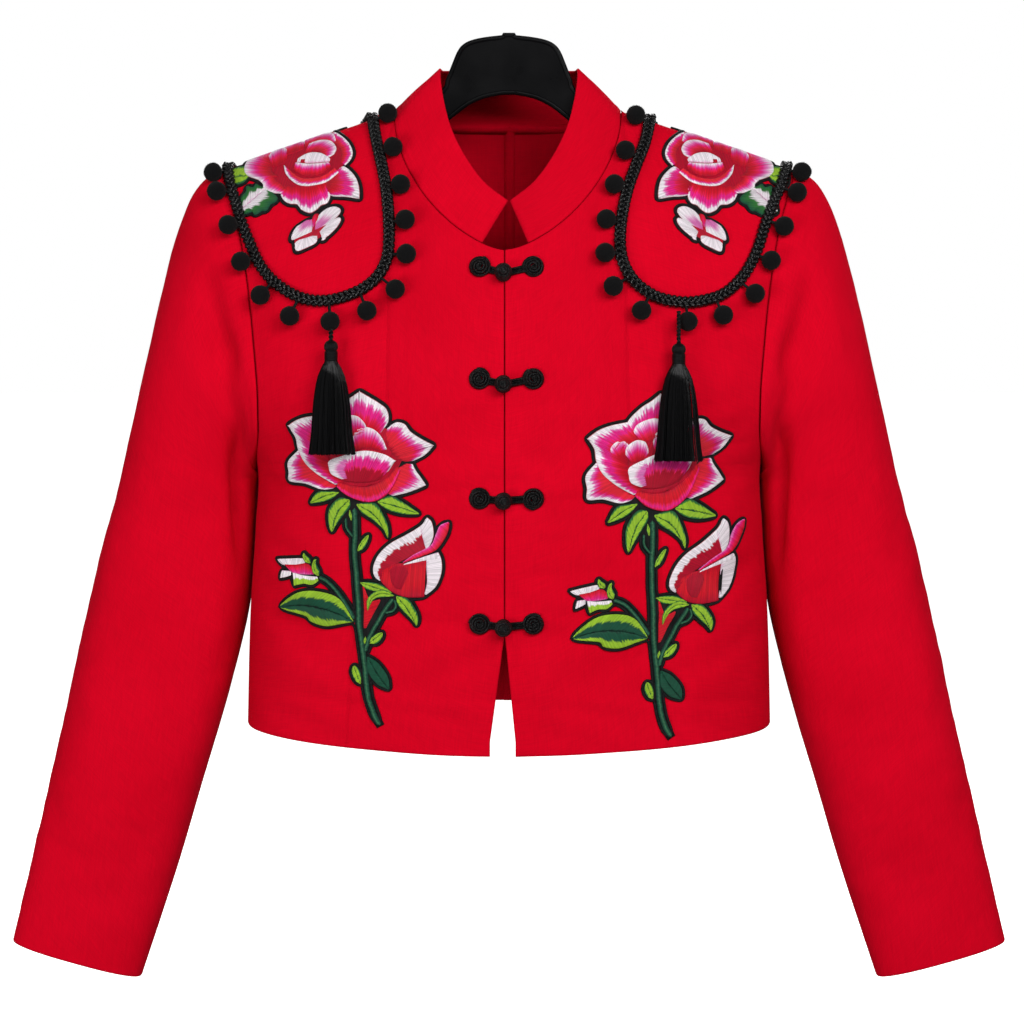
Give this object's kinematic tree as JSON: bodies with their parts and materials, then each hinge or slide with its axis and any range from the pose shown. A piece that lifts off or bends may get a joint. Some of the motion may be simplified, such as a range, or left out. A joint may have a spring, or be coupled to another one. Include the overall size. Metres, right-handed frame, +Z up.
{
  "type": "matador jacket on its hanger",
  "caption": "Cropped jacket with stand collar, long sleeves, frog fastenings, braided and pompom-edged shoulders and rose patches, hung filled out on a moulded hanger.",
  "frame": {"origin": "top of the boss in the middle of the hanger's head, where its hook would screw in", "axes": "+X to the wearer's left across the shoulders, -Y out of the front, +Z up"},
  "size_m": [0.743, 0.2017, 0.6995],
  "materials": {
    "red_cloth": "fine plain weave, matt with a soft sheen",
    "black_cord": "plaited cord, matt",
    "black_felt": "felted wool ball, matt and slightly hairy",
    "black_thread": "fine silky threads with a sheen",
    "rose_thread": "satin-stitch embroidery in pinks, greens and ochre",
    "black_plastic": "moulded, satin gloss"
  },
  "bodies": {
    "root": {"front_right": "red_cloth", "front_left": "red_cloth", "back_right": "red_cloth", "back_left": "red_cloth", "sleeve_right": "red_cloth", "sleeve_left": "red_cloth", "collar": "red_cloth", "hanger": "black_plastic", "frog_1_knot": "black_cord", "frog_1_loop": "black_cord", "frog_2_knot": "black_cord", "frog_2_loop": "black_cord", "frog_3_knot": "black_cord", "frog_3_loop": "black_cord", "frog_4_knot": "black_cord", "frog_4_loop": "black_cord", "braid_right": "black_cord", "pompom_right_01": "black_felt", "pompom_right_02": "black_felt", "pompom_right_03": "black_felt", "pompom_right_04": "black_felt", "pompom_right_05": "black_felt", "pompom_right_06": "black_felt", "pompom_right_07": "black_felt", "pompom_right_08": "black_felt", "pompom_right_09": "black_felt", "pompom_right_10": "black_felt", "pompom_right_11": "black_felt", "pompom_right_12": "black_felt", "pompom_right_13": "black_felt", "pompom_right_14": "black_felt", "tassel_right_head": "black_cord", "tassel_right_skirt": "black_thread", "shoulder_rose_right": "rose_thread", "chest_rose_right": "rose_thread", "braid_left": "black_cord", "pompom_left_01": "black_felt", "pompom_left_02": "black_felt", "pompom_left_03": "black_felt", "pompom_left_04": "black_felt", "pompom_left_05": "black_felt", "pompom_left_06": "black_felt", "pompom_left_07": "black_felt", "pompom_left_08": "black_felt", "pompom_left_09": "black_felt", "pompom_left_10": "black_felt", "pompom_left_11": "black_felt", "pompom_left_12": "black_felt", "pompom_left_13": "black_felt", "pompom_left_14": "black_felt", "tassel_left_head": "black_cord", "tassel_left_skirt": "black_thread", "shoulder_rose_left": "rose_thread", "chest_rose_left": "rose_thread"}
  },
  "joints": []
}
